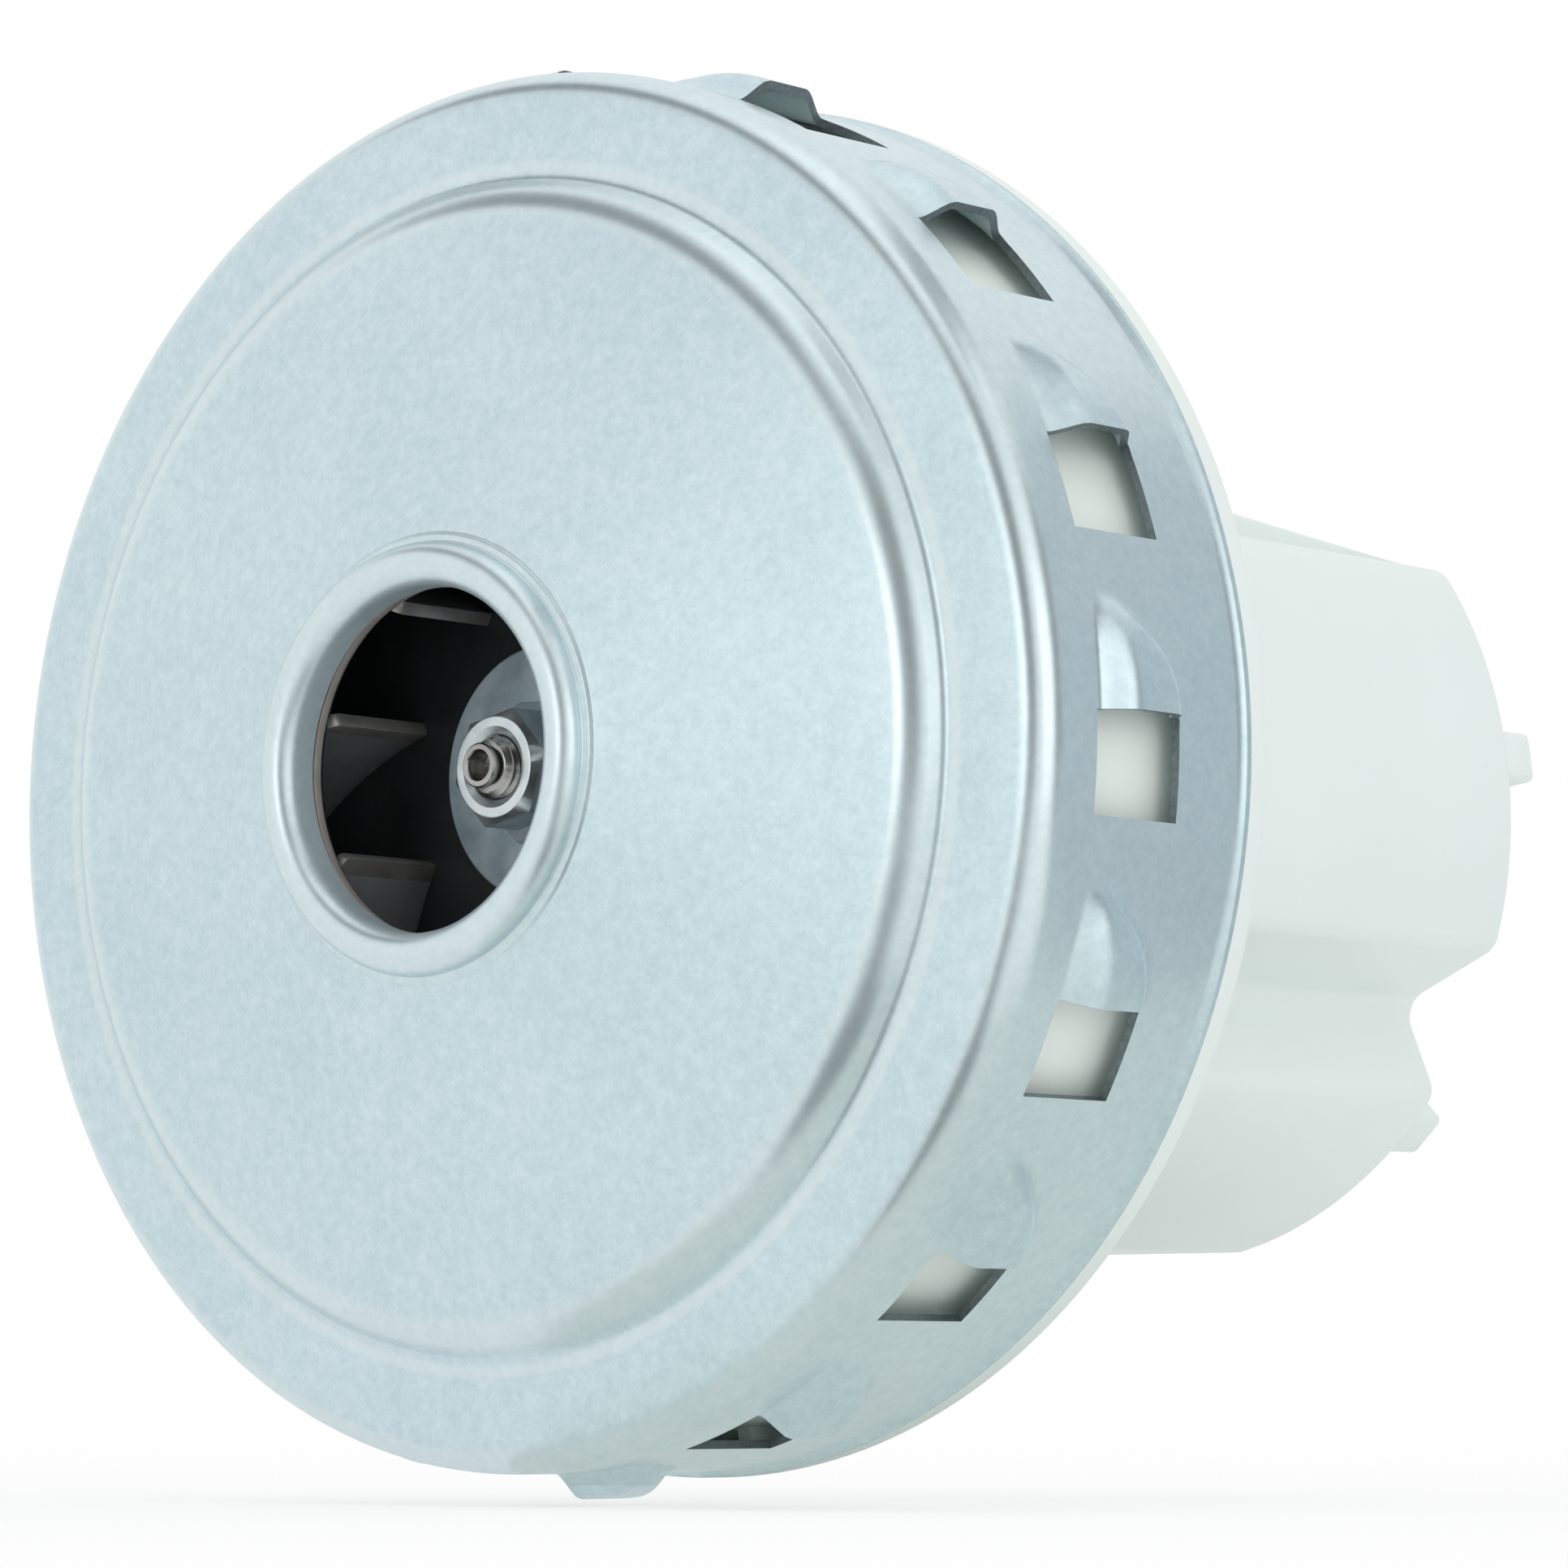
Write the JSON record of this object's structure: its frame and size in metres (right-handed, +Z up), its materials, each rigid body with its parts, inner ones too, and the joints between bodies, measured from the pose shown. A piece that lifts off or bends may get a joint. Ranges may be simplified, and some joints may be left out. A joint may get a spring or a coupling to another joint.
{
  "type": "vacuum motor unit",
  "caption": "Suction motor with a steel fan cover, a central inlet eye, hooded outlet windows round the skirt, and a white motor housing behind a round flange.",
  "frame": {"origin": "on the shaft's axis, at the rim of the fan cover, which is the front face of the flange", "axes": "+Y along the shaft from the inlet to the rear bearing, +Z up, as the flat top of the housing faces"},
  "size_m": [0.1348, 0.1208, 0.1348],
  "materials": {
    "galvanised_sheet": "satin galvanised deep-drawn sheet",
    "white_plastic": "moulded, fine matt",
    "black_fan_sheet": "matt black coated sheet",
    "zinc_steel": "zinc plated",
    "shaft_steel": "turned",
    "bearing_steel": "ground",
    "bush_rubber": "moulded",
    "fan_plastic": "moulded, matt",
    "core_steel": "stacked laminations",
    "copper_wire": "enamelled winding",
    "copper_bar": "turned copper",
    "phenolic": "moulded",
    "brass_sheet": "pressed",
    "carbon": "pressed carbon",
    "spring_steel": "drawn wire"
  },
  "bodies": {
    "motor_body": {"fan_cover": "galvanised_sheet", "diffuser_bracket": "white_plastic", "motor_housing": "white_plastic", "front_bearing_outer": "bearing_steel", "rear_bearing_outer": "bearing_steel", "rear_bearing_bush": "bush_rubber", "stator_stack": "core_steel", "field_coil_left": "copper_wire", "field_coil_right": "copper_wire", "stator_screws": "zinc_steel", "bracket_screws": "zinc_steel", "brush_holder_left": "brass_sheet", "brush_holder_right": "brass_sheet", "brush_spring_left": "spring_steel", "brush_spring_right": "spring_steel", "brush_cap_left": "brass_sheet", "brush_cap_right": "brass_sheet", "terminals": "brass_sheet"},
    "rotor": {"impeller_shroud": "black_fan_sheet", "impeller_blades": "black_fan_sheet", "impeller_back_plate": "black_fan_sheet", "impeller_washer_front": "zinc_steel", "impeller_washer_rear": "zinc_steel", "impeller_nut": "zinc_steel", "impeller_spacer": "zinc_steel", "rotor_shaft": "shaft_steel", "front_bearing_balls": "bearing_steel", "front_bearing_inner": "bearing_steel", "rear_bearing_balls": "bearing_steel", "rear_bearing_inner": "bearing_steel", "cooling_fan": "fan_plastic", "armature_stack": "core_steel", "armature_winding": "copper_wire", "commutator_core": "phenolic", "commutator_bars": "copper_bar"},
    "brush_left": {"carbon_brush_left": "carbon"},
    "brush_right": {"carbon_brush_right": "carbon"}
  },
  "joints": [
    {"name": "rotor_spin", "type": "hinge", "parent": "motor_body", "child": "rotor", "pos_m": [0, 0, 0], "axis": [0, 1, 0], "continuous": true},
    {"name": "brush_left_slide", "type": "slide", "parent": "motor_body", "child": "brush_left", "axis": [-1, 0, 0], "range_m": [0, 0.006], "stiffness_N_per_m": 150, "springref_m": -0.02, "deforming": ["brush_spring_left"]},
    {"name": "brush_right_slide", "type": "slide", "parent": "motor_body", "child": "brush_right", "axis": [1, 0, 0], "range_m": [0, 0.006], "stiffness_N_per_m": 150, "springref_m": -0.02, "deforming": ["brush_spring_right"]}
  ]
}
